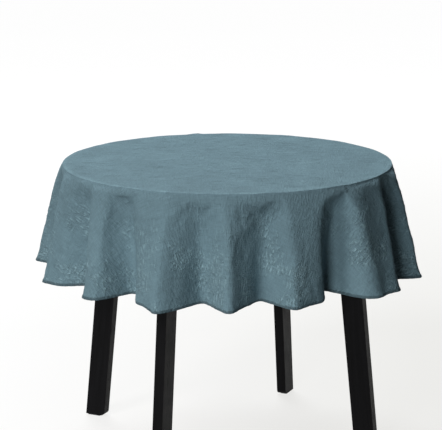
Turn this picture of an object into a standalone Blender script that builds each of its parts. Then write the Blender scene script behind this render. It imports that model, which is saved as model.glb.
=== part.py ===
"""A round linen tablecloth draped over a round table on four splayed legs.

Metres, +Z up. The origin is on the floor under the middle of the table, and the
legs stand on the diagonals of X and Y. The table is a disc on two crossed rails.
Each rail ends in two legs, which are bolted to it through their outer edges.
"""

import math

import bmesh
import bpy
from mathutils import Matrix, Vector

# Gap between two pieces that touch on the real object.
GAP = 0.0003
# How far a cutter runs past the face that it opens.
CUT_PAST = 0.010

# Table.
TABLE_HEIGHT = 0.748
TOP_RADIUS = 0.425
TOP_THICKNESS = 0.022
TOP_EDGE_ROUND = 0.004
TOP_STEPS = 60

# Legs. Width runs along the table's radius, thickness across it.
LEG_WIDTH = 0.058
LEG_THICKNESS = 0.027
FOOT_PAST_RIM = 0.003
LEG_SPLAY = math.radians(5.94)
LEG_TOE_ROUND = 0.012
LEG_EDGE_ROUND = 0.0012
LEG_AZIMUTHS = {
    "front_right": -45,
    "rear_right": 45,
    "rear_left": 135,
    "front_left": 225,
}

# Glides under the legs.
GLIDE_THICKNESS = 0.003
GLIDE_INSET = 0.004
GLIDE_CORNER = 0.003

# Crossed rails, half lapped in the middle.
RAIL_HEIGHT = 0.060
RAIL_THICKNESS = LEG_THICKNESS

# Connector bolts from a leg's outer edge into a cross nut in the rail.
BOLT_RADIUS = 0.003
BOLT_HEAD_RADIUS = 0.0075
BOLT_HEAD_THICKNESS = 0.0025
BOLT_HEAD_DEPTH = 0.004
BOLT_KEY_RADIUS = 0.0023
BOLT_KEY_DEPTH = 0.0015
BOLT_MARGIN = 0.016
BOLT_IN_RAIL = 0.036
BOLT_PAST_NUT = 0.003
NUT_RADIUS = 0.005
NUT_INSET = 0.0035

# Wood screws through the rails into the underside of the top.
SCREW_RADIUS = 0.00225
SCREW_HEAD_RADIUS = 0.0045
SCREW_HEAD_THICKNESS = 0.003
SCREW_HEAD_DEPTH = 0.030
SCREW_BITE = 0.014
SCREW_FROM_MIDDLE = 0.100
SCREW_FROM_LEG = 0.074

# Tablecloth: a flat disc of CLOTH_RADIUS before it is laid on the table.
CLOTH_RADIUS = 0.710
CLOTH_THICKNESS = 0.0012
CLOTH_EASE = 0.0012
CLOTH_SEGMENTS = 120
CLOTH_SKIRT_RINGS = 3
FOLD_TROUGH_REACH = 0.002
FOLD_GROWTH = 1.15
# Where each fold stands out, in degrees from +X, and how far its hem reaches past the rim.
FOLDS = (
    (-180, 0.068),
    (-155, 0.062),
    (-130, 0.076),
    (-110, 0.054),
    (-90, 0.054),
    (-60, 0.072),
    (-36, 0.088),
    (-13, 0.070),
    (9, 0.068),
    (33, 0.072),
    (56, 0.066),
    (79, 0.060),
    (103, 0.060),
    (126, 0.070),
    (153, 0.084),
)

# Worked out from the sizes above.
TOP_UNDERSIDE = TABLE_HEIGHT - TOP_THICKNESS
LEG_FOOT_CENTRE = TOP_RADIUS + FOOT_PAST_RIM - LEG_WIDTH / 2
LEG_TOP = TOP_UNDERSIDE - GAP
LEG_BOTTOM = GLIDE_THICKNESS + GAP
RAIL_TOP = LEG_TOP
RAIL_BOTTOM = RAIL_TOP - RAIL_HEIGHT
BOLT_DROPS = (BOLT_MARGIN, RAIL_HEIGHT - BOLT_MARGIN)
NUT_FROM_TIP = BOLT_PAST_NUT + NUT_RADIUS
NUT_LENGTH = RAIL_THICKNESS - 2 * NUT_INSET
CLOTH_BEND = TOP_EDGE_ROUND + CLOTH_EASE


def clear_scene():
    for old in list(bpy.data.objects):
        bpy.data.objects.remove(old)


def new_collection(name):
    collection = bpy.data.collections.new(name)
    bpy.context.scene.collection.children.link(collection)
    return collection


def material(name, colour, roughness, metallic=0.0):
    made = bpy.data.materials.new(name)
    made.use_nodes = True
    shader = made.node_tree.nodes["Principled BSDF"]
    shader.inputs["Base Color"].default_value = (*colour, 1.0)
    shader.inputs["Roughness"].default_value = roughness
    shader.inputs["Metallic"].default_value = metallic
    return made


def add_mesh_object(name, mesh, collection, finish=None):
    made = bpy.data.objects.new(name, mesh)
    collection.objects.link(made)
    if finish:
        mesh.materials.append(finish)
    return made


def add_cutter(name, mesh):
    """A helper that Booleans subtract: it's drawn as wire and never rendered."""
    cutter = add_mesh_object(name, mesh, cutters)
    cutter.hide_render = True
    cutter.display_type = "WIRE"
    return cutter


def cut(target, cutter):
    boolean = target.modifiers.new(cutter.name, "BOOLEAN")
    boolean.operation = "DIFFERENCE"
    boolean.object = cutter


def mesh_from(bm, name, matrix=None):
    if matrix:
        bm.transform(matrix)
    mesh = bpy.data.meshes.new(name)
    bm.to_mesh(mesh)
    bm.free()
    return mesh


def rod(bm, radius, start, end, segments):
    """Adds a closed cylinder to bm, from one point to another."""
    axis = end - start
    turn = axis.to_track_quat("Z", "Y").to_matrix().to_4x4()
    bmesh.ops.create_cone(
        bm,
        cap_ends=True,
        segments=segments,
        radius1=radius,
        radius2=radius,
        depth=axis.length,
        matrix=Matrix.Translation((start + end) / 2) @ turn,
    )


def rod_mesh(name, radius, start, end, segments=16, matrix=None):
    bm = bmesh.new()
    rod(bm, radius, start, end, segments)
    return mesh_from(bm, name, matrix)


def turned_mesh(name, outline, steps):
    """Turns an outline of (radius, height) points about Z, outer side from top to bottom."""
    bm = bmesh.new()
    corners = [bm.verts.new((radius, 0, height)) for radius, height in outline]
    for first, second in zip(corners, corners[1:]):
        bm.edges.new((first, second))
    helper = add_mesh_object(name, mesh_from(bm, name), cutters)
    screw = helper.modifiers.new("Turn", "SCREW")
    screw.steps = screw.render_steps = steps
    screw.use_merge_vertices = True
    screw.merge_threshold = 0.00001
    graph = bpy.context.evaluated_depsgraph_get()
    mesh = bpy.data.meshes.new_from_object(helper.evaluated_get(graph))
    bpy.data.objects.remove(helper)
    mesh.name = name
    return mesh


def flat_mesh(name, outline, thickness):
    """A plate: a closed outline of (x, z) points, extruded evenly to both sides of the XZ plane."""
    curve = bpy.data.curves.new(name, "CURVE")
    curve.dimensions = "2D"
    curve.fill_mode = "BOTH"
    curve.extrude = thickness / 2
    spline = curve.splines.new("POLY")
    spline.points.add(len(outline) - 1)
    for point, (x, z) in zip(spline.points, outline):
        point.co = (x, z, 0, 1)
    spline.use_cyclic_u = True
    helper = add_mesh_object(name, curve, cutters)
    graph = bpy.context.evaluated_depsgraph_get()
    mesh = bpy.data.meshes.new_from_object(helper.evaluated_get(graph))
    bpy.data.objects.remove(helper)
    bm = bmesh.new()
    bm.from_mesh(mesh)
    bmesh.ops.remove_doubles(bm, verts=bm.verts, dist=0.000001)
    bmesh.ops.recalc_face_normals(bm, faces=bm.faces)
    return mesh_from(bm, name, Matrix.Rotation(math.radians(90), 4, "X"))


def arc(centre, radius, first, last, count):
    """Points on an arc in the XZ plane, angles in degrees from +X towards +Z."""
    points = []
    for i in range(count + 1):
        angle = math.radians(first + (last - first) * i / count)
        points.append((centre[0] + radius * math.cos(angle), centre[1] + radius * math.sin(angle)))
    return points


def soften(target, width):
    bevel = target.modifiers.new("Soft edges", "BEVEL")
    bevel.width = width
    bevel.segments = 2
    bevel.limit_method = "ANGLE"


def shade(mesh, degrees=35):
    mesh.shade_smooth()
    mesh.set_sharp_from_angle(angle=math.radians(degrees))


def turn_to(azimuth):
    return Matrix.Rotation(math.radians(azimuth), 4, "Z")


def leg_centre(height):
    """How far the middle of a leg is from the table's axis at a height."""
    return LEG_FOOT_CENTRE - height * math.tan(LEG_SPLAY)


def leg_inside(height):
    return leg_centre(height) - LEG_WIDTH / 2


def leg_outside(height):
    return leg_centre(height) + LEG_WIDTH / 2


def screw_clearance():
    return SCREW_RADIUS + GAP


def screw_places():
    """How far the two screws of each half rail are from the table's axis."""
    return SCREW_FROM_MIDDLE, leg_inside(RAIL_TOP) - SCREW_FROM_LEG


def make_top():
    """The disc, with rounded edges and blind pilot holes over the rails."""
    edge = TOP_EDGE_ROUND
    outline = [(0, TABLE_HEIGHT)]
    outline += arc((TOP_RADIUS - edge, TABLE_HEIGHT - edge), edge, 90, 0, 3)
    outline += arc((TOP_RADIUS - edge, TOP_UNDERSIDE + edge), edge, 0, -90, 3)
    outline.append((0, TOP_UNDERSIDE))
    mesh = turned_mesh("tabletop", outline, TOP_STEPS)
    shade(mesh)
    top = add_mesh_object("tabletop", mesh, parts, black_wood)
    for side, azimuth in LEG_AZIMUTHS.items():
        for number, place in enumerate(screw_places(), 1):
            start = Vector((place, 0, TOP_UNDERSIDE - TOP_THICKNESS))
            end = Vector((place, 0, TOP_UNDERSIDE + SCREW_BITE + GAP))
            name = f"pilot_{side}_{number}"
            hole = rod_mesh(name, screw_clearance(), start, end, 12, turn_to(azimuth))
            cut(top, add_cutter(name, hole))


def make_rail(name, azimuth, notch_on_top):
    """One rail of the cross. Its ends lean with the legs, and its middle is notched."""
    ends = [
        (leg_inside(RAIL_BOTTOM) - GAP, RAIL_BOTTOM),
        (leg_inside(RAIL_TOP) - GAP, RAIL_TOP),
    ]
    outline = ends + [(-x, z) for x, z in reversed(ends)]
    rail = add_mesh_object(name, flat_mesh(name, outline, RAIL_THICKNESS), parts, black_wood)
    rail.rotation_euler.z = math.radians(azimuth)
    middle = (RAIL_TOP + RAIL_BOTTOM) / 2
    half_gap = GAP / 2
    low, high = (middle - half_gap, RAIL_TOP) if notch_on_top else (RAIL_BOTTOM, middle + half_gap)
    low, high = (low, high + CUT_PAST) if notch_on_top else (low - CUT_PAST, high)
    bm = bmesh.new()
    bmesh.ops.create_cube(bm, size=1)
    size = Matrix.Diagonal((RAIL_THICKNESS + 2 * GAP, RAIL_THICKNESS + CUT_PAST, high - low, 1))
    place = turn_to(azimuth) @ Matrix.Translation((0, 0, (low + high) / 2)) @ size
    cut(rail, add_cutter(f"{name}_notch", mesh_from(bm, f"{name}_notch", place)))
    return rail


def make_leg(side, azimuth):
    """A leg: a leaning plate with its foot cut level and its inner toe rounded."""
    toe_centre = (leg_inside(LEG_BOTTOM) + LEG_TOE_ROUND, LEG_BOTTOM + LEG_TOE_ROUND)
    lean = math.degrees(LEG_SPLAY)
    outline = arc(toe_centre, LEG_TOE_ROUND, -90, -180 - lean / 2, 5)
    outline += [(leg_inside(LEG_TOP), LEG_TOP), (leg_outside(LEG_TOP), LEG_TOP)]
    outline.append((leg_outside(LEG_BOTTOM), LEG_BOTTOM))
    name = f"leg_{side}"
    leg = add_mesh_object(name, flat_mesh(name, outline, LEG_THICKNESS), parts, black_wood)
    leg.rotation_euler.z = math.radians(azimuth)
    soften(leg, LEG_EDGE_ROUND)
    return leg


def make_glide(side, azimuth):
    """The thin pad under a foot: a plate with round corners, smaller than the foot."""
    middle = (leg_inside(0) + LEG_TOE_ROUND + leg_outside(0)) / 2
    half_length = (LEG_WIDTH - LEG_TOE_ROUND) / 2 - GLIDE_INSET
    half_width = LEG_THICKNESS / 2 - GLIDE_INSET
    x, y = half_length - GLIDE_CORNER, half_width - GLIDE_CORNER
    outline = []
    for quarter, (sx, sy) in enumerate(((1, 1), (-1, 1), (-1, -1), (1, -1))):
        start = 90 * quarter
        outline += arc((middle + sx * x, sy * y), GLIDE_CORNER, start, start + 90, 3)
    name = f"glide_{side}"
    mesh = flat_mesh(name, outline, GLIDE_THICKNESS)
    lie_flat = Matrix.Translation((0, 0, GLIDE_THICKNESS / 2)) @ Matrix.Rotation(math.radians(-90), 4, "X")
    mesh.transform(lie_flat)
    glide = add_mesh_object(name, mesh, parts, felt)
    glide.rotation_euler.z = math.radians(azimuth)


def bolt_seat(height):
    """How far out the underside of a bolt's head is."""
    return leg_outside(height) - BOLT_HEAD_DEPTH


def nut_place(height):
    """How far out the axis of a cross nut is."""
    return leg_inside(height) - GAP - BOLT_IN_RAIL + NUT_FROM_TIP


def make_bolt(name, azimuth, height):
    """A flat-headed connector bolt with a hexagonal key hole, along the rail."""
    seat = bolt_seat(height) + GAP
    tip = leg_inside(height) - GAP - BOLT_IN_RAIL
    outline = [
        (0, BOLT_HEAD_THICKNESS),
        (BOLT_HEAD_RADIUS - BOLT_HEAD_THICKNESS / 3, BOLT_HEAD_THICKNESS),
        (BOLT_HEAD_RADIUS, BOLT_HEAD_THICKNESS * 2 / 3),
        (BOLT_HEAD_RADIUS, 0),
        (BOLT_RADIUS, 0),
        (BOLT_RADIUS, tip - seat + BOLT_RADIUS / 3),
        (BOLT_RADIUS * 2 / 3, tip - seat),
        (0, tip - seat),
    ]
    mesh = turned_mesh(name, outline, 12)
    shade(mesh)
    place = turn_to(azimuth) @ Matrix.Translation((seat, 0, height)) @ Matrix.Rotation(math.radians(90), 4, "Y")
    bolt = add_mesh_object(name, mesh, parts, zinc)
    bolt.matrix_world = place
    start = Vector((0, 0, BOLT_HEAD_THICKNESS - BOLT_KEY_DEPTH))
    end = Vector((0, 0, BOLT_HEAD_THICKNESS + BOLT_KEY_DEPTH))
    key = rod_mesh(f"{name}_key", BOLT_KEY_RADIUS, start, end, 6, place)
    cut(bolt, add_cutter(f"{name}_key", key))


def make_nut(name, azimuth, height):
    """A cross nut: a short rod across the rail with a hole for its bolt."""
    place = turn_to(azimuth) @ Matrix.Translation((nut_place(height), 0, height))
    half = Vector((0, NUT_LENGTH / 2, 0))
    mesh = rod_mesh(name, NUT_RADIUS, -half, half, 12)
    shade(mesh)
    nut = add_mesh_object(name, mesh, parts, zinc)
    nut.matrix_world = place
    reach = Vector((NUT_RADIUS * 2, 0, 0))
    half_a_side = Matrix.Rotation(math.pi / 12, 4, "X")
    hole = rod_mesh(f"{name}_hole", BOLT_RADIUS + GAP, -reach, reach, 12, place @ half_a_side)
    cut(nut, add_cutter(f"{name}_hole", hole))


def bore_for_bolt(leg, rail, name, azimuth, height):
    """Cuts the bolt's way through a leg and into the rail, its head's seat and the nut's hole."""
    turn = turn_to(azimuth)
    tip = Vector((leg_inside(height) - BOLT_IN_RAIL - BOLT_PAST_NUT, 0, height))
    seat = Vector((bolt_seat(height), 0, height))
    outside = Vector((leg_outside(height) + LEG_WIDTH / 2, 0, height))
    shank = add_cutter(f"{name}_way", rod_mesh(f"{name}_way", BOLT_RADIUS + GAP, tip, outside, 12, turn))
    head = rod_mesh(f"{name}_seat", BOLT_HEAD_RADIUS + GAP, seat, outside, 16, turn)
    cut(leg, shank)
    cut(leg, add_cutter(f"{name}_seat", head))
    cut(rail, shank)
    across = Vector((0, RAIL_THICKNESS, 0))
    centre = Vector((nut_place(height), 0, height))
    nut_way = rod_mesh(f"{name}_nut_way", NUT_RADIUS + GAP, centre - across, centre + across, 16, turn)
    cut(rail, add_cutter(f"{name}_nut_way", nut_way))


def make_screw(name, rail, azimuth, place):
    """A wood screw whose head sits deep in the rail, and the stepped hole that it runs in."""
    seat = RAIL_BOTTOM + SCREW_HEAD_DEPTH
    tip = TOP_UNDERSIDE + SCREW_BITE
    outline = [
        (0, tip),
        (SCREW_RADIUS * 0.5, tip - SCREW_RADIUS),
        (SCREW_RADIUS, tip - 2 * SCREW_RADIUS),
        (SCREW_RADIUS, seat - GAP),
        (SCREW_HEAD_RADIUS, seat - GAP),
        (SCREW_HEAD_RADIUS, seat - SCREW_HEAD_THICKNESS),
        (0, seat - SCREW_HEAD_THICKNESS),
    ]
    mesh = turned_mesh(name, outline, 12)
    shade(mesh)
    screw = add_mesh_object(name, mesh, parts, zinc)
    turn = turn_to(azimuth)
    screw.matrix_world = turn @ Matrix.Translation((place, 0, 0))
    below = Vector((place, 0, RAIL_BOTTOM - SCREW_HEAD_DEPTH))
    above = Vector((place, 0, RAIL_TOP + SCREW_BITE))
    shoulder = Vector((place, 0, seat))
    way = rod_mesh(f"{name}_way", screw_clearance(), below, above, 12, turn)
    bore = rod_mesh(f"{name}_bore", SCREW_HEAD_RADIUS + GAP, below, shoulder, 12, turn)
    cut(rail, add_cutter(f"{name}_way", way))
    cut(rail, add_cutter(f"{name}_bore", bore))


def fold_reach(angle):
    """How far the hem stands out past the rim at an angle: a wave from fold to fold."""
    degrees = math.degrees(angle) % 360
    around = sorted(((azimuth % 360, reach) for azimuth, reach in FOLDS))
    around = [(around[-1][0] - 360, around[-1][1]), *around, (around[0][0] + 360, around[0][1])]
    for (before, first), (after, second) in zip(around, around[1:]):
        if before <= degrees <= after:
            share = (degrees - before) / (after - before)
            crest = first + (second - first) * share
            wave = (1 + math.cos(2 * math.pi * share)) / 2
            return FOLD_TROUGH_REACH + (crest - FOLD_TROUGH_REACH) * wave
    raise ValueError("the folds don't close round the table")


def skirt_point(angle, share):
    """A point of the hanging cloth, at a share of the way from the bend down to the hem.

    A fold leans out faster the further down it is, and every line from bend to hem
    has the same length, so the hem is higher where a fold stands out.
    """
    bend_outside = TOP_RADIUS + CLOTH_EASE
    hanging = CLOTH_RADIUS - (bend_outside - CLOTH_BEND) - CLOTH_BEND * math.pi / 2
    reach = fold_reach(angle)
    steps = 24
    drop = 0.0
    for i in range(round(share * steps)):
        slope = reach * FOLD_GROWTH * ((i + 0.5) / steps) ** (FOLD_GROWTH - 1) / hanging
        drop += math.sqrt(1 - slope * slope) * hanging / steps
    radius = bend_outside + reach * share**FOLD_GROWTH
    height = TABLE_HEIGHT + GAP - CLOTH_BEND - drop
    return Vector((radius * math.cos(angle), radius * math.sin(angle), height))


def make_tablecloth():
    """The cloth: a disc whose rim is drawn out ring by ring, over the table's edge and down."""
    bend_centre = TOP_RADIUS + CLOTH_EASE - CLOTH_BEND
    bm = bmesh.new()
    lift = Matrix.Translation((0, 0, TABLE_HEIGHT + GAP))
    bmesh.ops.create_circle(bm, cap_ends=True, segments=CLOTH_SEGMENTS, radius=bend_centre, matrix=lift)
    rim = list(bm.edges)

    def draw_out(rim, place):
        drawn = bmesh.ops.extrude_edge_only(bm, edges=rim)["geom"]
        for vert in (v for v in drawn if isinstance(v, bmesh.types.BMVert)):
            vert.co = place(math.atan2(vert.co.y, vert.co.x))
        return [e for e in drawn if isinstance(e, bmesh.types.BMEdge)]

    def bend_point(angle, turned):
        radius = bend_centre + CLOTH_BEND * math.sin(turned)
        height = TABLE_HEIGHT + GAP - CLOTH_BEND * (1 - math.cos(turned))
        return Vector((radius * math.cos(angle), radius * math.sin(angle), height))

    for degrees in (30, 60):
        rim = draw_out(rim, lambda angle: bend_point(angle, math.radians(degrees)))
    for ring in range(CLOTH_SKIRT_RINGS + 1):
        share = ring / CLOTH_SKIRT_RINGS
        rim = draw_out(rim, lambda angle: skirt_point(angle, share))
    bmesh.ops.recalc_face_normals(bm, faces=bm.faces)
    if max(bm.faces, key=lambda f: f.calc_area()).normal.z < 0:
        bmesh.ops.reverse_faces(bm, faces=bm.faces)
    mesh = mesh_from(bm, "tablecloth")
    mesh.shade_smooth()
    cloth = add_mesh_object("tablecloth", mesh, parts, linen)
    shell = cloth.modifiers.new("Thickness", "SOLIDIFY")
    shell.thickness = CLOTH_THICKNESS
    shell.offset = 1
    shell.use_even_offset = True


clear_scene()
parts = new_collection("tablecloth on a table")
cutters = new_collection("cutters")
black_wood = material("black stained wood", (0.012, 0.012, 0.013), 0.42)
felt = material("grey felt", (0.06, 0.06, 0.06), 0.95)
zinc = material("zinc plated steel", (0.55, 0.56, 0.58), 0.35, 1.0)
linen = material("teal linen", (0.125, 0.205, 0.240), 0.88)

make_top()
rails = {
    "rail_upper": make_rail("rail_upper", 45, notch_on_top=False),
    "rail_lower": make_rail("rail_lower", -45, notch_on_top=True),
}
for side, azimuth in LEG_AZIMUTHS.items():
    leg = make_leg(side, azimuth)
    make_glide(side, azimuth)
    rail = rails["rail_upper" if azimuth % 180 == 45 else "rail_lower"]
    for level, drop in zip(("upper", "lower"), BOLT_DROPS):
        height = RAIL_TOP - drop
        make_bolt(f"bolt_{side}_{level}", azimuth, height)
        make_nut(f"cross_nut_{side}_{level}", azimuth, height)
        bore_for_bolt(leg, rail, f"bore_{side}_{level}", azimuth, height)
    for number, place in enumerate(screw_places(), 1):
        make_screw(f"top_screw_{side}_{number}", rail, azimuth, place)
make_tablecloth()
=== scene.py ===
"""A washed linen tablecloth on a round black table: the looks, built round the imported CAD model.

The cloth is a flat disc of linen. It lies flat on the table's top, and its skirt is draped over the
rim by cloth simulation. Every point of it keeps its place on the flat disc, in the attribute "flat",
so that weave, slubs and creases follow the threads. Lengths are metres and angles are degrees,
unless a name says otherwise.
"""

import math

import bmesh
import bpy
import numpy as np
from mathutils import Euler, Matrix, Vector


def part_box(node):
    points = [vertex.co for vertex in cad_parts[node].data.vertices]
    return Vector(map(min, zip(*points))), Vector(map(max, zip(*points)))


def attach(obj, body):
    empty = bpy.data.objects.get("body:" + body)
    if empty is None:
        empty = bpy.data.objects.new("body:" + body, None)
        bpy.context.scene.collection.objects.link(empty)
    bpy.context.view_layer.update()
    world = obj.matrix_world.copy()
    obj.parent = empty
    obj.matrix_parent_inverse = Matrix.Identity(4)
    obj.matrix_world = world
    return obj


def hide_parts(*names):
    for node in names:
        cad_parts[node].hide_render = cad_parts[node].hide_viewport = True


# Camera, from the table's foot: how far back, how high, and where it looks.
CAMERA_AZIMUTH = -20.2
CAMERA_BACK = 4.45
CAMERA_HEIGHT = 1.58
CAMERA_PITCH = 12.36
CAMERA_PAN = 0.21
CAMERA_ROLL = -0.1
CAMERA_LENS_MM = 141.7

# The world's strength as a light, and as the camera sees it past the sweep.
WORLD_LIGHT = 0.03
WORLD_SEEN = 0.90

# The sweep, in the camera's own directions.
SWEEP_HALF_WIDTH = 14.0
SWEEP_FRONT = -9.0
WALL_AT = 12.0
WALL_HEIGHT = 9.0
WALL_CURVE = 3.0
WALL_CURVE_STEPS = 12

# Cloth.
CLOTH_RADIUS = 0.710
CLOTH_THICKNESS = 0.0006
CLOTH_ABOVE_TOP = 0.0013
CLOTH_BEND = 0.006
GRAIN_AZIMUTH = CAMERA_AZIMUTH
# The line of the hem seen from above: azimuth from +X and distance from the middle, going round
# from the camera's left to its right and then behind the table. Up to 324 degrees, most entries
# follow points of the photo's hem that a separate program cast onto the hem's height, rounded and
# then moved by hand. The rest are guessed.
HEM_LINE = (
    (153, 0.514), (160, 0.464), (168, 0.395), (180, 0.502), (188, 0.478),
    (196, 0.395), (202, 0.492), (209, 0.489), (212, 0.415), (216, 0.402),
    (221, 0.464), (230, 0.512), (235, 0.474), (241, 0.408), (250, 0.492),
    (262, 0.395), (269, 0.486), (280, 0.464), (289, 0.388), (293, 0.482),
    (297, 0.502), (303, 0.490), (309, 0.508), (315, 0.415), (324, 0.518),
    (337, 0.398), (347, 0.500), (359, 0.398), (369, 0.495), (381, 0.395),
    (393, 0.500), (405, 0.398), (416, 0.495), (427, 0.398), (439, 0.500),
    (451, 0.395), (463, 0.495), (475, 0.398), (486, 0.500), (498, 0.395),
)

# Simulated grid: its spokes, its first two rings, and the steps to the next ones.
SIM_SPOKES = 360
SIM_FIRST_RINGS = (0.405, 0.413)
SIM_RIM_STEP = 0.003
SIM_RIM_PAST = 0.004
SIM_RING_STEP = 0.0085
SIM_STEP_GROWTH = 0.001

# Simulation: how long, how the cloth starts, and what it lies on.
SIM_FRAMES = 40
SIM_STEPS = 5
PINNED_RADIUS = 0.4265
HEM_LINE_SOFTNESS = 1.3
MATERIAL_DRIFT = 25
FOLD_DEPTH_MAX = 0.075
FOLD_LEAN_OUT = 0.022
FOLD_LEAN_GROWTH = 1.2
START_SLACK = 0.985
BISECTIONS = 30
COLLIDER_INSET = 0.0002
COLLIDER_EDGE = 0.004

# Final grid.
SPOKES = 720
RING_STEP = 0.0045
RIM_RING_STEP = 0.0018
TOP_RING_STEP = 0.0055
RIM_CENTRE_INSIDE = 0.005
RIM_HALF_WIDTH = 0.012
HALVING_RADII = (0.392, 0.20, 0.10, 0.05, 0.025)

# How far the cloth may dip where it lies on the table.
DIP_MAX = 0.0003
# Over how much of the cloth the simulated part takes over from the flat part on the table.
TAKE_OVER = 0.006

# Hem and stitches. The hem flares outward where a fold stands clear of the table's rim.
HEM_HEIGHT = 0.0065
HEM_THICKNESS = 0.0021
# How much darker the hem's linen is: painted shade along the hem.
HEM_PAINTED_SHADE = 0.52
HEM_INSIDE_EDGE = 0.0012
HEM_FOLDED_BACK = 0.004
HEM_FLARE = 0.004
HEM_FLARE_FROM = 0.045
HEM_FLARE_CLEAR = 0.02
HEM_FLARE_RISE = 0.04
PUCKER_SWELL = 0.10
PUCKER_DROP = 0.00012
PUCKER_WAVES = (151, 223, 317, 389)
STITCH_PITCH = 0.0032
STITCH_LENGTH = 0.0025
STITCH_RADIUS = 0.00022
STITCH_FROM_EDGE = 0.0052
STITCH_SIDES = 6
# A stitch's thickness along its length, both as shares.
STITCH_SHAPE = ((0.0, 0.25), (0.12, 0.8), (0.35, 1.0), (0.65, 1.0), (0.88, 0.8), (1.0, 0.25))
SEAM_LINE_POINTS = 7201


# ---------------------------------------------------------------- studio

def in_front(x, y, z):
    """A point given as the camera sees it: x to the right, y away from it, z up."""
    return Matrix.Rotation(math.radians(CAMERA_AZIMUTH), 3, "Z") @ Vector((x, y, z))


def make_camera():
    data = bpy.data.cameras.new("camera")
    data.lens = CAMERA_LENS_MM
    camera = bpy.data.objects.new("camera", data)
    bpy.context.scene.collection.objects.link(camera)
    camera.location = in_front(0, -CAMERA_BACK, CAMERA_HEIGHT)
    tilt = Euler((math.radians(90 - CAMERA_PITCH), 0, math.radians(CAMERA_AZIMUTH + CAMERA_PAN)))
    roll = Matrix.Rotation(math.radians(CAMERA_ROLL), 3, "Z")
    camera.rotation_euler = (tilt.to_matrix() @ roll).to_euler()
    bpy.context.scene.camera = camera


def area_light(name, place, target, size, watts, colour=(1, 1, 1)):
    data = bpy.data.lights.new(name, "AREA")
    data.shape = "DISK"
    data.size = size
    data.energy = watts
    data.color = colour
    light = bpy.data.objects.new(name, data)
    bpy.context.scene.collection.objects.link(light)
    light.location = in_front(*place)
    aim = in_front(*target) - light.location
    light.rotation_euler = aim.to_track_quat("-Z", "Y").to_euler()


def make_lights():
    area_light("key", (-2.5, -2.8, 3.5), (0, 0, 0.6), 1.3, 126, (1.0, 0.955, 0.935))
    area_light("fill", (-1.5, -5.4, 1.5), (0, 0, 0.5), 1.8, 164)
    area_light("overhead", (-0.6, 2.6, 4.6), (0, 0, 0.7), 2.2, 220, (0.96, 0.99, 1.0))
    world = bpy.data.worlds.new("studio")
    bpy.context.scene.world = world
    world.use_nodes = True
    background = world.node_tree.nodes["Background"]
    background.inputs["Color"].default_value = (0.97, 0.985, 1.0, 1.0)
    rays = world.node_tree.nodes.new("ShaderNodeLightPath")
    strength = world.node_tree.nodes.new("ShaderNodeMapRange")
    strength.inputs["To Min"].default_value = WORLD_LIGHT
    strength.inputs["To Max"].default_value = WORLD_SEEN
    world.node_tree.links.new(rays.outputs["Is Camera Ray"], strength.inputs["Value"])
    world.node_tree.links.new(strength.outputs["Result"], background.inputs["Strength"])


def make_floor():
    """A pale sweep: a floor that curves up into a wall far behind the table."""
    bm = bmesh.new()
    curve_from = WALL_AT - WALL_CURVE
    profile = [(SWEEP_FRONT, 0.0), (0.0, 0.0), (curve_from, 0.0)]
    for i in range(1, WALL_CURVE_STEPS + 1):
        turned = math.radians(90 * i / WALL_CURVE_STEPS)
        y = curve_from + WALL_CURVE * math.sin(turned)
        z = WALL_CURVE * (1 - math.cos(turned))
        profile.append((y, z))
    profile.append((WALL_AT, WALL_HEIGHT))
    left = [bm.verts.new(in_front(-SWEEP_HALF_WIDTH, y, z)) for y, z in profile]
    right = [bm.verts.new(in_front(SWEEP_HALF_WIDTH, y, z)) for y, z in profile]
    for i in range(len(profile) - 1):
        bm.faces.new((left[i], right[i], right[i + 1], left[i + 1]))
    mesh = bpy.data.meshes.new("floor")
    bm.to_mesh(mesh)
    bm.free()
    mesh.shade_smooth()
    floor = bpy.data.objects.new("floor", mesh)
    bpy.context.scene.collection.objects.link(floor)
    mesh.materials.append(make_floor_material())


# ---------------------------------------------------------------- node helpers

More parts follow.
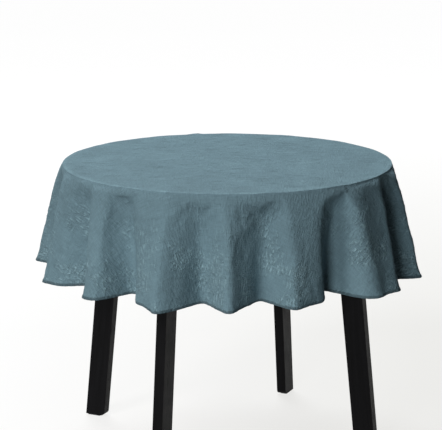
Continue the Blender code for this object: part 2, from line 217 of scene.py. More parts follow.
class Nodes:
    """Builds a material's nodes with one call a node."""

    def __init__(self, name):
        self.material = bpy.data.materials.new(name)
        self.material.use_nodes = True
        self.tree = self.material.node_tree
        self.shader = self.tree.nodes["Principled BSDF"]

    def set(self, **values):
        """Sets the shader's own sockets, named with _ for a space."""
        for name, value in values.items():
            socket = self.shader.inputs[name.replace("_", " ")]
            socket.default_value = value

    def plug(self, value, socket):
        if isinstance(value, bpy.types.NodeSocket):
            self.tree.links.new(value, socket)
        else:
            socket.default_value = value

    def add(self, kind, inputs=(), **settings):
        node = self.tree.nodes.new(kind)
        for key, value in settings.items():
            setattr(node, key, value)
        for key, value in dict(inputs).items():
            self.plug(value, node.inputs[key])
        return node

    def math(self, operation, a, b=0.0, c=0.0, clamp=False):
        node = self.add("ShaderNodeMath", operation=operation, use_clamp=clamp)
        for value, socket in zip((a, b, c), node.inputs):
            self.plug(value, socket)
        return node.outputs[0]

    def between(self, value, low, high, to_low=0.0, to_high=1.0):
        inputs = {"Value": value, "From Min": low, "From Max": high, "To Min": to_low, "To Max": to_high}
        return self.add("ShaderNodeMapRange", inputs, clamp=True).outputs["Result"]

    def band(self, value, start, full, fading, end):
        """Rises from 0 at start to 1 at full, stays there until fading, and is 0 again at end."""
        rise, fall = self.between(value, start, full), self.between(value, fading, end, 1.0, 0.0)
        return self.math("MULTIPLY", rise, fall)

    def at_least(self, low, value):
        """A value that runs from 0 to 1, made to run from low to 1."""
        return self.math("MULTIPLY_ADD", value, 1.0 - low, low)

    def weighted(self, *parts):
        """The sum of values, each times its weight."""
        total = 0.0
        for value, weight in parts:
            total = self.math("MULTIPLY_ADD", value, weight, total)
        return total

    def mix(self, share, a, b):
        node = self.add("ShaderNodeMix", data_type="RGBA")
        self.plug(share, node.inputs["Factor"])
        self.plug(a, node.inputs["A"])
        self.plug(b, node.inputs["B"])
        return node.outputs["Result"]

    def place(self, coordinates, scale=(1, 1, 1), rotation=(0, 0, 0), location=(0, 0, 0)):
        inputs = {"Vector": coordinates, "Scale": scale, "Location": location,
                  "Rotation": [math.radians(r) for r in rotation]}
        return self.add("ShaderNodeMapping", inputs).outputs["Vector"]

    def noise(self, coordinates, scale, detail=2.0, roughness=0.5, distortion=0.0):
        inputs = {"Vector": coordinates, "Scale": scale, "Detail": detail, "Roughness": roughness,
                  "Distortion": distortion}
        return self.add("ShaderNodeTexNoise", inputs).outputs["Fac"]

    def bump(self, height, depth, strength=1.0, normal=None):
        """A bump whose height runs from 0 to 1 over depth metres."""
        inputs = {"Height": height, "Distance": depth, "Strength": strength}
        node = self.add("ShaderNodeBump", inputs)
        if normal is not None:
            self.plug(normal, node.inputs["Normal"])
        return node.outputs["Normal"]


# ---------------------------------------------------------------- materials

# Deep, main and pale linen, and how light the tone is where each turns into the next.
LINEN = ((0.092, 0.150, 0.177, 1), (0.136, 0.223, 0.263, 1), (0.235, 0.370, 0.425, 1))
LINEN_TONES = (0.55, 0.95, 1.45)
THREAD_PITCH = 0.00085
# Bands of the linen, by how far they lie from the middle of the flat disc: the rim, with a painted
# highlight;
# the upper skirt, a little deeper as painted shade; the table's top; and the lower skirt, where washing
# crinkles it.
RIM_PAINTED_HIGHLIGHT = (0.413, 0.421, 0.424, 0.431)
SKIRT_PAINTED_SHADE = (0.427, 0.435, 0.46, 0.62)
TOP_ENDS = (0.40, 0.44)
CRINKLED_FROM = (0.44, 0.60)


def linen_material(name, shade=1.0):
    """Plain-weave linen: threads both ways, slubs, crinkles from washing, and a pale bloom on the
    crinkles' ridges, partly wear and partly a painted highlight.

    X lies along the weft and Y along the warp. The shade darkens all of it: painted shade, for the hem
    where two layers lie together.
    """
    n = Nodes(name)
    flat = n.add("ShaderNodeAttribute", attribute_name="flat").outputs["Vector"]
    reach = n.add("ShaderNodeVectorMath", {0: flat}, operation="LENGTH").outputs["Value"]
    grain = n.place(flat, rotation=(0, 0, -GRAIN_AZIMUTH))
    sway = n.add("ShaderNodeCombineXYZ", {"X": n.noise(grain, 22, 2), "Y": n.noise(grain, 27, 2)})
    wobble = n.add("ShaderNodeVectorMath", {0: sway.outputs[0], 1: (0.005, 0.005, 0), 2: grain},
                   operation="MULTIPLY_ADD").outputs[0]
    x, y = n.add("ShaderNodeSeparateXYZ", {"Vector": wobble}).outputs[:2]
    turns = 2 * math.pi / THREAD_PITCH

    def stretched(across, along, detail=3, distortion=0.0):
        """Noise that changes so many times a metre along X and along Y."""
        return n.noise(n.place(wobble, scale=(across, along, 1)), 1.0, detail, 0.6, distortion)

    def sine(value, factor):
        return n.math("SINE", n.math("MULTIPLY", value, factor))

    weave = n.math("ADD", n.math("MULTIPLY", sine(x, turns), sine(y, turns / 2)),
                   n.math("MULTIPLY", sine(y, turns), sine(x, turns / 2)))
    slubs = n.math("ADD", stretched(700, 32), stretched(26, 480))
    on_top = n.between(reach, *TOP_ENDS, 1.0, 0.0)
    patches = n.between(n.noise(grain, 9, 3, 0.6), 0.47, 0.58)
    worked = n.math("MULTIPLY", patches, n.at_least(0.15, n.between(reach, *CRINKLED_FROM)))
    warp_crinkle = n.between(stretched(215, 62, 2, 0.4), 0.47, 0.61)
    weft_crinkle = n.between(stretched(72, 200, 2, 0.4), 0.48, 0.62)
    crinkle = n.math("MULTIPLY_ADD", weft_crinkle, 0.35, warp_crinkle)
    weft_lines = n.between(stretched(15, 190), 0.53, 0.68)

    tone = n.weighted(
        (n.noise(grain, 7, 4, 0.6), 0.5),
        (slubs, 0.55),
        (n.noise(grain, 120, 3, 0.6), 0.25),
        (weave, 0.04),
        (n.math("MULTIPLY", weft_lines, n.at_least(0.3, on_top)), -0.22),
        # Crinkle ridges painted paler: partly wear, partly a painted highlight.
        (n.math("MULTIPLY", crinkle, worked), 0.58),
        # A painted highlight along the rim, broken into patches.
        (n.math("MULTIPLY", n.band(reach, *RIM_PAINTED_HIGHLIGHT), n.at_least(0.2, patches)), 0.15),
        # Painted shade on the upper skirt, just below the rim.
        (n.band(reach, *SKIRT_PAINTED_SHADE), -0.14),
    )
    deep, main, pale = ([c * shade for c in colour[:3]] + [1] for colour in LINEN)
    dark = n.mix(n.between(tone, *LINEN_TONES[:2]), deep, main)
    n.plug(n.mix(n.between(tone, *LINEN_TONES[1:]), dark, pale), n.shader.inputs["Base Color"])
    n.plug(n.between(slubs, 0.7, 1.3, 0.95, 0.80), n.shader.inputs["Roughness"])
    n.set(Sheen_Weight=0.12, Sheen_Roughness=0.5, Sheen_Tint=(0.55, 0.85, 1, 1), Specular_IOR_Level=0.15)
    crinkled = n.bump(n.math("MULTIPLY", crinkle, n.at_least(0.2, worked)), 0.0030)
    slubbed = n.bump(slubs, 0.0007, normal=crinkled)
    lined = n.bump(n.math("MULTIPLY", weft_lines, on_top), -0.0014, normal=slubbed)
    n.plug(n.bump(n.between(weave, -1.6, 1.6), 0.00022, normal=lined), n.shader.inputs["Normal"])
    return n.material


def thread_material():
    """Sewing thread: two plies twisted together, a little paler than the linen."""
    n = Nodes("sewing thread")
    place = n.add("ShaderNodeTexCoord").outputs["Object"]
    twist = n.noise(place, 1500, 2)
    n.plug(n.mix(n.between(twist, 0.35, 0.65), (0.10, 0.17, 0.20, 1), (0.20, 0.30, 0.34, 1)),
           n.shader.inputs["Base Color"])
    n.plug(n.bump(twist, 0.0001), n.shader.inputs["Normal"])
    n.set(Roughness=0.6, Sheen_Weight=0.2)
    return n.material


def black_wood_material(name, rotation, centre=(0, 0, 0)):
    """Black stained wood with open pores. The rotation, in degrees, takes the piece's grain onto Z."""
    n = Nodes(name)
    place = n.add("ShaderNodeTexCoord").outputs["Object"]
    centred = n.add("ShaderNodeVectorMath", {0: place, 1: centre}, operation="SUBTRACT").outputs[0]
    grain = centred
    for axis, degrees in rotation:
        turn = {"X": (degrees, 0, 0), "Y": (0, degrees, 0), "Z": (0, 0, degrees)}[axis]
        grain = n.place(grain, rotation=turn)
    bent = n.add("ShaderNodeVectorMath", operation="MULTIPLY_ADD")
    n.plug(n.add("ShaderNodeCombineXYZ", {"X": n.noise(grain, 2.2, 2)}).outputs[0], bent.inputs[0])
    bent.inputs[1].default_value = (0.03, 0, 0)
    n.plug(grain, bent.inputs[2])
    figure = n.noise(n.place(bent.outputs[0], scale=(90, 30, 3)), 1.0, 4, 0.6)
    pores = n.noise(n.place(bent.outputs[0], scale=(900, 500, 22)), 1.0, 2, 0.5)
    pore = n.between(pores, 0.56, 0.66)
    rub = n.noise(centred, 14, 4, 0.65)
    colour = n.mix(n.between(figure, 0.35, 0.65), (0.003, 0.003, 0.0034, 1), (0.006, 0.006, 0.0068, 1))
    colour = n.mix(n.math("MULTIPLY", pore, 0.55), colour, (0.002, 0.002, 0.002, 1))
    n.plug(colour, n.shader.inputs["Base Color"])
    rough = n.math("ADD", n.between(rub, 0.3, 0.7, 0.34, 0.48), n.math("MULTIPLY", pore, 0.2))
    n.plug(rough, n.shader.inputs["Roughness"])
    n.set(Specular_IOR_Level=0.06)
    lines = n.bump(figure, 0.0003)
    n.plug(n.bump(n.math("SUBTRACT", 1.0, pore), 0.00012, normal=lines), n.shader.inputs["Normal"])
    return n.material


def zinc_material():
    """Bright zinc plate with a faint spangle and drawn scratches."""
    n = Nodes("zinc plate")
    place = n.add("ShaderNodeTexCoord").outputs["Object"]
    spangle = n.noise(place, 700, 3)
    scratch = n.noise(n.place(place, scale=(300, 300, 4000)), 1.0, 2)
    n.plug(n.mix(spangle, (0.42, 0.43, 0.45, 1), (0.66, 0.67, 0.69, 1)), n.shader.inputs["Base Color"])
    n.plug(n.between(scratch, 0.3, 0.7, 0.25, 0.45), n.shader.inputs["Roughness"])
    n.plug(n.bump(scratch, 0.00003), n.shader.inputs["Normal"])
    n.set(Metallic=1.0)
    return n.material


def felt_material():
    """Pressed felt: matted fibres in dark greys."""
    n = Nodes("pressed felt")
    place = n.add("ShaderNodeTexCoord").outputs["Object"]
    fibres = n.noise(place, 1800, 4, 0.7, 1.5)
    clumps = n.noise(place, 350, 2)
    n.plug(n.mix(fibres, (0.03, 0.03, 0.032, 1), (0.10, 0.10, 0.105, 1)), n.shader.inputs["Base Color"])
    n.plug(n.bump(n.math("ADD", fibres, clumps), 0.0005), n.shader.inputs["Normal"])
    n.set(Roughness=0.97, Sheen_Weight=0.3)
    return n.material


def make_floor_material():
    """An overlit white sweep: near white to the camera and in reflections, but a weak bounce."""
    n = Nodes("floor")
    place = n.add("ShaderNodeTexCoord").outputs["Object"]
    seen_from = n.place(place, rotation=(0, 0, -CAMERA_AZIMUTH))
    x, y = n.add("ShaderNodeSeparateXYZ", {"Vector": seen_from}).outputs[:2]
    shade = n.noise(place, 1.5, 3)
    n.plug(n.mix(shade, (0.115, 0.115, 0.115, 1), (0.125, 0.125, 0.125, 1)), n.shader.inputs["Base Color"])
    # Painted shade: the glow grows darker towards the camera's right, away from the key light.
    right = n.between(x, -0.9, 0.6)
    glow = n.mix(right, (0.86, 0.86, 0.86, 1), (0.745, 0.74, 0.72, 1))
    glow = n.mix(n.between(y, 1.0, 5.0), glow, (0.975, 0.975, 0.975, 1))
    n.plug(glow, n.shader.inputs["Emission Color"])
    rays = n.add("ShaderNodeLightPath").outputs
    seen = n.math("MAXIMUM", rays["Is Camera Ray"], rays["Is Glossy Ray"])
    n.plug(seen, n.shader.inputs["Emission Strength"])
    n.set(Roughness=0.9, Specular_IOR_Level=0.1)
    return n.material


# ---------------------------------------------------------------- the cloth's shape

class Table:
    """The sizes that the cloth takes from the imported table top."""

    def __init__(self):
        self.low, self.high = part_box("tabletop")
        self.radius = self.high.x
        self.top = self.high.z
        self.cloth_z = self.top + CLOTH_ABOVE_TOP
        self.bend = CLOTH_BEND
        self.bend_centre = self.radius + CLOTH_ABOVE_TOP - self.bend
        self.bend_end = self.bend_centre + self.bend * math.pi / 2


def smoothed(values, width):
    """A closed ring of values, evened out over a width in degrees."""
    steps = np.fft.rfftfreq(len(values), 360 / len(values))
    return np.fft.irfft(np.fft.rfft(values) * np.exp(-2 * (np.pi * steps * width) ** 2), len(values))


class Wave:
    """The folds as one wave round the table: +1 at the furthest crest, below 0 in the troughs."""

    def __init__(self):
        self.turns = np.arange(7200) * 2 * np.pi / 7200
        azimuths, reaches = (np.array(v, float) for v in zip(*HEM_LINE))
        line = np.interp(np.degrees(self.turns), azimuths, reaches, period=360)
        line = smoothed(line, HEM_LINE_SOFTNESS)
        self.heights = (line - line.mean()) / (line.max() - line.mean())

    def at(self, azimuths):
        return np.interp(azimuths, self.turns, self.heights, period=2 * np.pi)


def start_ring(table, wave, flat_radius, spokes):
    """One ring of the cloth before the simulation: radius, azimuth and height of each point.

    Below the table's rim, the ring waves in and out as deep as its own length on the flat
    disc allows, and each point keeps its share of the way from trough to crest.
    """
    azimuths = np.arange(spokes) * 2 * np.pi / spokes
    if flat_radius <= table.bend_end:
        turned = max(0.0, (flat_radius - table.bend_centre) / table.bend)
        radius = min(flat_radius, table.bend_centre) + table.bend * math.sin(turned)
        height = table.cloth_z - table.bend * (1 - math.cos(turned))
        return np.full(spokes, radius), azimuths, np.full(spokes, height)
    hung = flat_radius - table.bend_end
    drop = CLOTH_RADIUS - table.bend_end
    rim = table.bend_centre + table.bend
    middle = rim + FOLD_LEAN_OUT * (hung / drop) ** FOLD_LEAN_GROWTH

    def ring_steps(depth):
        radius = middle + depth * wave.heights
        x, y = radius * np.cos(wave.turns), radius * np.sin(wave.turns)
        return np.hypot(np.roll(x, -1) - x, np.roll(y, -1) - y)

    low, high = 0.0, FOLD_DEPTH_MAX
    for _ in range(BISECTIONS):
        depth = (low + high) / 2
        if ring_steps(depth).sum() < 2 * np.pi * flat_radius * START_SLACK:
            low = depth
        else:
            high = depth
    steps = ring_steps(depth)
    along = np.concatenate([[0], np.cumsum(steps[:-1])]) / steps.sum() * 2 * np.pi
    drift = along - wave.turns
    drift -= smoothed(drift, MATERIAL_DRIFT)
    material = np.maximum.accumulate(wave.turns + drift)
    turned = azimuths + np.interp(azimuths, material, wave.turns - material, period=2 * np.pi)
    radius = middle + depth * wave.at(turned)
    slope = (middle + depth / 2 - rim) / drop
    height = table.cloth_z - table.bend - hung * math.sqrt(1 - slope * slope / 2)
    return radius, turned, np.full(spokes, height)


def sim_radii(table):
    """Flat radii of the simulated rings: close together at the rim, wider down the skirt."""
    radii = list(SIM_FIRST_RINGS)
    while radii[-1] < CLOTH_RADIUS - SIM_RING_STEP / 2:
        step = min(SIM_RING_STEP, radii[-1] - radii[-2] + SIM_STEP_GROWTH)
        if radii[-1] < table.bend_end + SIM_RIM_PAST:
            step = SIM_RIM_STEP
        radii.append(radii[-1] + step)
    radii[-1] = CLOTH_RADIUS
    return np.array(radii)


def grid_faces(rings, spokes):
    """Quads of a closed-round grid, ring by ring from the middle outwards, facing up."""
    ring, spoke = np.meshgrid(np.arange(rings - 1), np.arange(spokes), indexing="ij")
    here = ring * spokes + spoke
    after = ring * spokes + (spoke + 1) % spokes
    return np.stack([here, here + spokes, after + spokes, after], -1).reshape(-1, 4)


def make_collider(table):
    """The table's top as the cloth feels it, drawn in a little so that the cloth lies close to it."""
    bm = bmesh.new()
    top = table.top - COLLIDER_INSET
    bmesh.ops.create_cone(
        bm,
        cap_ends=True,
        segments=240,
        radius1=table.radius - COLLIDER_INSET,
        radius2=table.radius - COLLIDER_INSET,
        depth=top - table.low.z,
        matrix=Matrix.Translation((0, 0, (top + table.low.z) / 2)),
    )
    rims = [e for e in bm.edges if abs(e.verts[0].co.z - e.verts[1].co.z) < 1e-6]
    bmesh.ops.bevel(bm, geom=rims, offset=COLLIDER_EDGE, segments=4, profile=0.5, affect="EDGES")
    mesh = bpy.data.meshes.new("collider")
    bm.to_mesh(mesh)
    bm.free()
    collider = bpy.data.objects.new("collider", mesh)
    bpy.context.scene.collection.objects.link(collider)
    collider.modifiers.new("Collision", "COLLISION")
    collider.collision.thickness_outer = 0.0006
    collider.collision.cloth_friction = 8
    return collider


def simulate(table, radii):
    """Drapes the skirt and returns where its rings end, as an array of rings, spokes and XYZ."""
    start, flat = [], []
    wave = Wave()
    azimuths = np.arange(SIM_SPOKES) * 2 * np.pi / SIM_SPOKES
    for flat_radius in radii:
        radius, turned, height = start_ring(table, wave, flat_radius, SIM_SPOKES)
        start.append(np.stack([radius * np.cos(turned), radius * np.sin(turned), height], -1))
        level = np.full(SIM_SPOKES, table.cloth_z)
        flat.append(np.stack([flat_radius * np.cos(azimuths), flat_radius * np.sin(azimuths), level], -1))
    start, flat = np.array(start), np.array(flat)
    mesh = bpy.data.meshes.new("draping")
    mesh.from_pydata(start.reshape(-1, 3).tolist(), [], grid_faces(len(radii), SIM_SPOKES).tolist())
    cloth = bpy.data.objects.new("draping", mesh)
    bpy.context.scene.collection.objects.link(cloth)
    cloth.shape_key_add(name="Basis")
    rest = cloth.shape_key_add(name="flat")
    rest.data.foreach_set("co", flat.astype(np.float32).ravel())
    pins = cloth.vertex_groups.new(name="on the table")
    held = int((radii < PINNED_RADIUS).sum()) * SIM_SPOKES
    pins.add(list(range(held)), 1.0, "REPLACE")
    collider = make_collider(table)
    modifier = cloth.modifiers.new("Cloth", "CLOTH")
    settings = modifier.settings
    settings.quality = SIM_STEPS
    settings.mass = 0.0004
    settings.air_damping = 2
    settings.tension_stiffness = settings.compression_stiffness = 12
    settings.shear_stiffness = 3
    settings.bending_stiffness = 0.04
    settings.tension_damping = settings.compression_damping = settings.shear_damping = 4
    settings.bending_damping = 0.3
    settings.vertex_group_mass = pins.name
    settings.rest_shape_key = rest
    contact = modifier.collision_settings
    contact.distance_min = 0.0008
    contact.collision_quality = 3
    contact.use_self_collision = True
    contact.self_distance_min = 0.0015
    scene = bpy.context.scene
    modifier.point_cache.frame_start = 1
    modifier.point_cache.frame_end = SIM_FRAMES
    for frame_number in range(1, SIM_FRAMES + 1):
        scene.frame_set(frame_number)
    draped = cloth.evaluated_get(bpy.context.evaluated_depsgraph_get()).data
    points = np.empty(len(draped.vertices) * 3, np.float32)
    draped.vertices.foreach_get("co", points)
    bpy.data.objects.remove(cloth)
    bpy.data.objects.remove(collider)
    scene.frame_set(1)
    return points.reshape(len(radii), SIM_SPOKES, 3).astype(float)


def spline_weights(share):
    """Weights of a cubic B-spline's four points at a share of the way through its span."""
    a = (1 - share) ** 3 / 6
    b = (3 * share**3 - 6 * share**2 + 4) / 6
    c = (-3 * share**3 + 3 * share**2 + 3 * share + 1) / 6
    return a, b, c, share**3 / 6


class Drape:
    """The draped skirt as a smooth surface that can be read at any place on the flat disc."""

    def __init__(self, table, radii, points):
        self.table, self.radii = table, radii
        first = 2 * points[0] - points[1]
        last = 2 * points[-1] - points[-2]
        self.points = np.concatenate([first[None], points, last[None], (2 * last - points[-1])[None]])

    def at(self, radius, azimuth):
        """Points of the surface, from arrays of flat radius and azimuth in radians."""
        ring = np.interp(radius, self.radii, np.arange(len(self.radii))) + 1
        spoke = azimuth / (2 * np.pi) * SIM_SPOKES
        ring_low, spoke_low = np.floor(ring).astype(int), np.floor(spoke).astype(int)
        down = spline_weights(ring - ring_low)
        round_ = spline_weights(spoke - spoke_low)
        total = 0
        for i in range(4):
            for j in range(4):
                weight = (down[i] * round_[j])[..., None]
                rows = np.clip(ring_low - 1 + i, 0, len(self.points) - 1)
                total = total + weight * self.points[rows, (spoke_low - 1 + j) % SIM_SPOKES]
        flat = np.stack([radius * np.cos(azimuth), radius * np.sin(azimuth),
                         np.full_like(radius, self.table.cloth_z)], -1)
        simulated = np.clip((radius - self.radii[1]) / TAKE_OVER, 0, 1)[..., None]
        total = flat + (total - flat) * simulated
        near_hem = np.clip((radius - CLOTH_RADIUS) / HEM_FLARE_FROM + 1, 0, 1) ** 2
        out = np.hypot(total[..., 0], total[..., 1]) + 1e-9
        crest = np.clip((out - self.table.radius - HEM_FLARE_CLEAR) / HEM_FLARE_RISE, 0, 1)
        total[..., :2] *= (1 + HEM_FLARE * near_hem * crest / out)[..., None]
        return total

    def frame(self, radius, azimuth):
        """Point, direction down the cloth and outward normal, at a place on the flat disc."""
        step = 0.0008
        point = self.at(radius, azimuth)
        down = self.at(np.minimum(radius + step, CLOTH_RADIUS), azimuth) - self.at(radius - step, azimuth)
        along = self.at(radius, azimuth + step) - self.at(radius, azimuth - step)
        down /= np.linalg.norm(down, axis=-1, keepdims=True)
        along /= np.linalg.norm(along, axis=-1, keepdims=True)
        normal = np.cross(down, along)
        normal /= np.linalg.norm(normal, axis=-1, keepdims=True)
        return point, down, normal


# ---------------------------------------------------------------- creases

FIELD_SIZE = 1.44
FIELD_CELLS = 960
CREASE_ON_TOP = 0.30
CREASE_GROWS_OVER = 0.07
# A soft pleat at the far left of the top. Its ends are in metres to the right of the table's middle
# and behind it, in the camera's own directions.
PLEAT_FROM = (-0.085, 0.418)
PLEAT_TO = (-0.195, 0.315)
PLEAT_HEIGHT = 0.0065
PLEAT_WIDTH = 0.0055


class Creases:
    """How far washed linen stands up out of its own surface, by the place on the flat disc."""

    def __init__(self):
        self.random = np.random.default_rng(7)
        steps = np.fft.fftfreq(FIELD_CELLS, FIELD_SIZE / FIELD_CELLS)
        turn = math.radians(GRAIN_AZIMUTH)
        x, y = np.meshgrid(steps, steps, indexing="ij")
        self.across = x * math.cos(turn) + y * math.sin(turn)
        self.along = -x * math.sin(turn) + y * math.cos(turn)
        self.height = self.build()

    def band(self, width, length):
        """Noise whose ripples are about width across the warp and length along it, evened to 1."""
        noise = np.fft.fft2(self.random.standard_normal((FIELD_CELLS, FIELD_CELLS)))
        reach = np.hypot(self.across * width, self.along * length)
        field = np.fft.ifft2(noise * reach**2 * np.exp(-(reach**2) * 1.6)).real
        return field / field.std()

    def build(self):
        patches = 1 / (1 + np.exp(-1.6 * self.band(0.16, 0.16)))
        other_patches = 1 / (1 + np.exp(-1.6 * self.band(0.20, 0.14)))
        warp = -np.abs(self.band(0.016, 0.055))
        weft = -np.abs(self.band(0.050, 0.016))
        crumple = -np.abs(self.band(0.034, 0.045))
        soft = self.band(0.075, 0.11)
        height = 0.00068 * warp * patches + 0.00054 * weft * other_patches
        height += 0.00070 * crumple * (0.35 + 0.65 * patches) + 0.0006 * soft
        return height + PLEAT_HEIGHT * self.pleat()

    def pleat(self):
        """The pleat's share of its height: full along its line and gone a few widths away."""
        places = (np.arange(FIELD_CELLS) / FIELD_CELLS - 0.5) * FIELD_SIZE
        x, y = np.meshgrid(places, places, indexing="ij")
        start, end = (np.array(in_front(*place, 0))[:2] for place in (PLEAT_FROM, PLEAT_TO))
        along = (end - start) / np.linalg.norm(end - start)
        down = (x - start[0]) * along[0] + (y - start[1]) * along[1]
        aside = (x - start[0]) * along[1] - (y - start[1]) * along[0]
        past = down - np.clip(down, 0, np.linalg.norm(end - start))
        return np.exp(-((aside / PLEAT_WIDTH) ** 2) - (past / (4 * PLEAT_WIDTH)) ** 2)

    def at(self, x, y):
        cells_x = (x / FIELD_SIZE + 0.5) * FIELD_CELLS
        cells_y = (y / FIELD_SIZE + 0.5) * FIELD_CELLS
        low_x, low_y = np.floor(cells_x).astype(int), np.floor(cells_y).astype(int)
        share_x, share_y = cells_x - low_x, cells_y - low_y

        def corner(i, j):
            return self.height[(low_x + i) % FIELD_CELLS, (low_y + j) % FIELD_CELLS]

        near = corner(0, 0) * (1 - share_x) + corner(1, 0) * share_x
        far = corner(0, 1) * (1 - share_x) + corner(1, 1) * share_x
        return near * (1 - share_y) + far * share_y


def crease_share(table, radius):
    """How much of its full height a crease has: little on the table and over its rim, all below."""
    below = np.clip((radius - table.bend_end) / CREASE_GROWS_OVER, 0, 1)
    return CREASE_ON_TOP + (1 - CREASE_ON_TOP) * below * below * (3 - 2 * below)


# ---------------------------------------------------------------- meshes

def mesh_object(name, points, faces, material, flat=None):
    mesh = bpy.data.meshes.new(name)
    mesh.from_pydata(np.asarray(points).tolist(), [], [tuple(f) for f in faces])
    if flat is not None:
        attribute = mesh.attributes.new("flat", "FLOAT_VECTOR", "POINT")
        attribute.data.foreach_set("vector", np.asarray(flat, np.float32).ravel())
    mesh.materials.append(material)
    mesh.shade_smooth()
    made = bpy.data.objects.new(name, mesh)
    bpy.context.scene.collection.objects.link(made)
    return made


def final_radii(table, end):
    """Flat radii of the final rings, from the outside in to the middle's smallest ring."""
    radii = [end]
    while radii[-1] > HALVING_RADII[-1]:
        near_rim = abs(radii[-1] - table.bend_end + RIM_CENTRE_INSIDE) < RIM_HALF_WIDTH
        step = RIM_RING_STEP if near_rim else RING_STEP
        if radii[-1] < HALVING_RADII[0]:
            step = TOP_RING_STEP
        radii.append(radii[-1] - step)
    return radii


def sheet_grid(table, end):
    """Flat places and faces of the whole cloth. Inside each halving radius it has half the spokes."""
    radius, azimuth, faces = [], [], []
    spokes, previous = SPOKES, None
    halvings = list(HALVING_RADII)
    for ring in final_radii(table, end):
        halve = bool(halvings) and ring < halvings[0]
        if halve:
            halvings.pop(0)
            spokes //= 2
        start = len(radius)
        radius += [ring] * spokes
        azimuth += [2 * math.pi * i / spokes for i in range(spokes)]
        if previous is not None:
            outer, count = previous
            for i in range(spokes):
                here, after = start + i, start + (i + 1) % spokes
                if halve:
                    a, b, c = (outer + (2 * i + k) % count for k in range(3))
                    faces += [(here, a, b), (here, b, after), (after, b, c)]
                else:
                    faces.append((here, outer + i, outer + (i + 1) % count, after))
        previous = (start, spokes)
    start, count = previous
    radius.append(0.0)
    azimuth.append(0.0)
    faces += [(len(radius) - 1, start + i, start + (i + 1) % count) for i in range(count)]
    return np.array(radius), np.array(azimuth), faces


def make_cloth(table, drape, creases, material):
    """The linen itself, down to where the hem's fold begins."""
    radius, azimuth, faces = sheet_grid(table, CLOTH_RADIUS - HEM_HEIGHT / 2)
    point, _, normal = drape.frame(np.maximum(radius, 0.001), azimuth)
    x, y = radius * np.cos(azimuth), radius * np.sin(azimuth)
    on_top = radius < table.bend_centre
    normal[on_top] = (0, 0, 1)
    point[radius == 0] = (0, 0, table.cloth_z)
    height = creases.at(x, y) * crease_share(table, radius)
    height = np.where(radius < table.bend_end, np.maximum(height, -DIP_MAX), height)
    point = point + normal * height[:, None]
    flat = np.stack([x, y, np.zeros_like(x)], -1)
    cloth = mesh_object("linen_cloth", point, faces, material, flat)
    solid = cloth.modifiers.new("Thickness", "SOLIDIFY")
    solid.thickness = CLOTH_THICKNESS
    solid.offset = 0
    apply_modifiers(cloth)
    return cloth


def apply_modifiers(target):
    graph = bpy.context.evaluated_depsgraph_get()
    mesh = bpy.data.meshes.new_from_object(target.evaluated_get(graph))
    target.modifiers.clear()
    target.data = mesh


def make_hem(drape, creases, table, material):
    """The hem: the cloth's edge folded in twice, a rounded band that puckers at its seam."""
    spokes = 2 * SPOKES
    azimuth = np.arange(spokes) * 2 * np.pi / spokes
    edge = np.full(spokes, CLOTH_RADIUS - HEM_INSIDE_EDGE)
    point, down, normal = drape.frame(edge, azimuth)
    x, y = edge * np.cos(azimuth), edge * np.sin(azimuth)
    point = point + normal * (creases.at(x, y) * crease_share(table, edge))[:, None]
    random = np.random.default_rng(3)
    pucker = sum(
        random.uniform(0.5, 1.0) * np.sin(azimuth * waves + random.uniform(0, 6.28))
        for waves in PUCKER_WAVES
    )
    profile = hem_profile(HEM_THICKNESS / 2)
    points, flat = [], []
    for out, drop in profile:
        swell = 1 + PUCKER_SWELL * pucker * (1 if out > 0 else -1)
        shift = normal * (out * swell)[:, None] + down * (drop + PUCKER_DROP * pucker)[:, None]
        points.append(point + shift)
        reach = CLOTH_RADIUS + drop + (HEM_FOLDED_BACK if out < 0 else 0.0)
        flat.append(np.stack([reach * np.cos(azimuth), reach * np.sin(azimuth), np.zeros(spokes)], -1))
    count = len(profile)
    faces = []
    for ring in range(count):
        after = (ring + 1) % count
        for i in range(spokes):
            j = (i + 1) % spokes
            faces.append((ring * spokes + i, ring * spokes + j, after * spokes + j, after * spokes + i))
    return mesh_object("linen_hem", np.concatenate(points), faces, material, np.concatenate(flat))


def hem_profile(half):
    """The hem's section: distance outward and distance down from the cloth's edge, going round."""
    seam = -STITCH_FROM_EDGE
    top = -HEM_HEIGHT
    return [
        (half * 0.62, top + 0.0001),
        (half * 0.78, top + 0.0007),
        (half * 0.62, seam),
        (half * 0.95, seam + 0.0012),
        (half, seam * 0.45),
        (half * 0.92, -0.0003),
        (half * 0.55, 0.0006),
        (0.0, 0.0010),
        (-half * 0.55, 0.0006),
        (-half * 0.92, -0.0003),
        (-half, seam * 0.45),
        (-half * 0.95, seam + 0.0012),
        (-half * 0.62, seam),
        (-half * 0.85, top + 0.0007),
        (-half * 0.50, top + 0.0001),
    ]


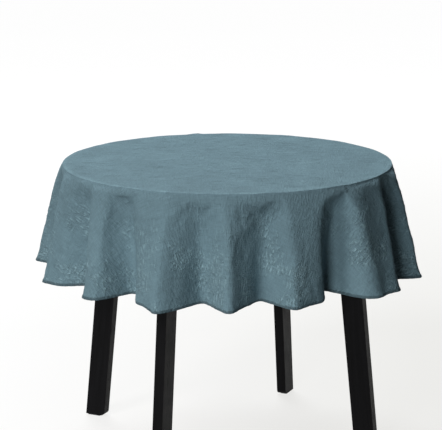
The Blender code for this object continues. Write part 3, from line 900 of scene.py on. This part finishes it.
def make_stitches(drape, creases, table, material):
    """The seam's stitches, inside and out: short rounded lengths of thread, end to end."""
    around = np.linspace(0, 2 * np.pi, SEAM_LINE_POINTS)
    edge = np.full_like(around, CLOTH_RADIUS - HEM_INSIDE_EDGE - STITCH_FROM_EDGE)
    line, down, normal = drape.frame(edge, around)
    x, y = edge * np.cos(around), edge * np.sin(around)
    line = line + normal * (creases.at(x, y) * crease_share(table, edge))[:, None]
    length = np.concatenate([[0], np.cumsum(np.linalg.norm(np.diff(line, axis=0), axis=1))])
    count = int(length[-1] / STITCH_PITCH)
    points, faces = [], []
    for side in (1, -1):
        start = np.arange(count) / count * length[-1] + (0 if side > 0 else STITCH_PITCH / 2)
        for share, thick in STITCH_SHAPE:
            at = (start + share * STITCH_LENGTH) % length[-1]
            centre = np.stack([np.interp(at, length, line[:, k]) for k in range(3)], -1)
            across = np.stack([np.interp(at, length, down[:, k]) for k in range(3)], -1)
            out = np.stack([np.interp(at, length, normal[:, k]) for k in range(3)], -1)
            lift = side * (HEM_THICKNESS * 0.31 + STITCH_RADIUS * (0.9 * thick - 0.35))
            for k in range(STITCH_SIDES):
                turned = 2 * math.pi * k / STITCH_SIDES
                spread = across * math.cos(turned) + out * (math.sin(turned) * side)
                points.append(centre + out * lift + spread * (STITCH_RADIUS * thick))
    rings = len(STITCH_SHAPE)
    points = np.array(points).reshape(2, rings, STITCH_SIDES, count, 3).transpose(0, 3, 1, 2, 4)
    points = points.reshape(-1, 3)
    block = rings * STITCH_SIDES
    for stitch in range(2 * count):
        base = stitch * block
        stitch_faces = []
        for ring in range(rings - 1):
            for k in range(STITCH_SIDES):
                a = base + ring * STITCH_SIDES + k
                b = base + ring * STITCH_SIDES + (k + 1) % STITCH_SIDES
                stitch_faces.append((a, b, b + STITCH_SIDES, a + STITCH_SIDES))
        stitch_faces.append(tuple(base + STITCH_SIDES - 1 - k for k in range(STITCH_SIDES)))
        stitch_faces.append(tuple(base + block - STITCH_SIDES + k for k in range(STITCH_SIDES)))
        inside_out = stitch >= count
        faces += [face[::-1] for face in stitch_faces] if inside_out else stitch_faces
    return mesh_object("hem_stitching", points, faces, material)


# ---------------------------------------------------------------- the table's finish

LEG_LEAN = 5.94
AZIMUTH_OF = {"front_right": -45, "rear_right": 45, "rear_left": 135, "front_left": 225}


def dress_table(nodes):
    """Gives every rigid CAD piece its finish."""
    zinc, felt = zinc_material(), felt_material()
    for name, node in nodes.items():
        if name == "tablecloth":
            continue
        side = next((s for s in AZIMUTH_OF if s in name), None)
        if name.startswith("leg_"):
            low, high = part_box(name)
            centre = (low + high) / 2
            turns = (("Z", -AZIMUTH_OF[side]), ("Y", LEG_LEAN))
            finish = black_wood_material(f"black wood {name}", turns, tuple(centre))
        elif name.startswith("rail_"):
            azimuth = 45 if name == "rail_upper" else -45
            finish = black_wood_material(f"black wood {name}", (("Z", -azimuth), ("Y", 90)))
        elif name == "tabletop":
            finish = black_wood_material(f"black wood {name}", (("Y", 90),))
        elif name.startswith("glide_"):
            finish = felt
        else:
            finish = zinc
        node.data.materials.clear()
        node.data.materials.append(finish)


# ---------------------------------------------------------------- the whole

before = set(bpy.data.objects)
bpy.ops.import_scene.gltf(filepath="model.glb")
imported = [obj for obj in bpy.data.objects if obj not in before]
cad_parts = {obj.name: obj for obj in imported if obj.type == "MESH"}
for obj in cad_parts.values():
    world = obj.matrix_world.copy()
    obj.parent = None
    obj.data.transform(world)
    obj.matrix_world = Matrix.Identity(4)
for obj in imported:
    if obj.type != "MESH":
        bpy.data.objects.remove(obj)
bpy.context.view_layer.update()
bpy.context.scene.view_settings.view_transform = "Standard"
make_camera()
make_lights()
make_floor()
dress_table(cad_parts)

table = Table()
radii = sim_radii(table)
drape = Drape(table, radii, simulate(table, radii))
creases = Creases()
linen = linen_material("washed linen")
# The hem gets a darker copy of the linen: painted shade.
hem_linen_painted_shade = linen_material("linen, hem with painted shade", HEM_PAINTED_SHADE)
cloth = make_cloth(table, drape, creases, linen)
hem = make_hem(drape, creases, table, hem_linen_painted_shade)
stitches = make_stitches(drape, creases, table, thread_material())
for piece in (cloth, hem, stitches):
    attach(piece, "tablecloth")
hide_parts("tablecloth")
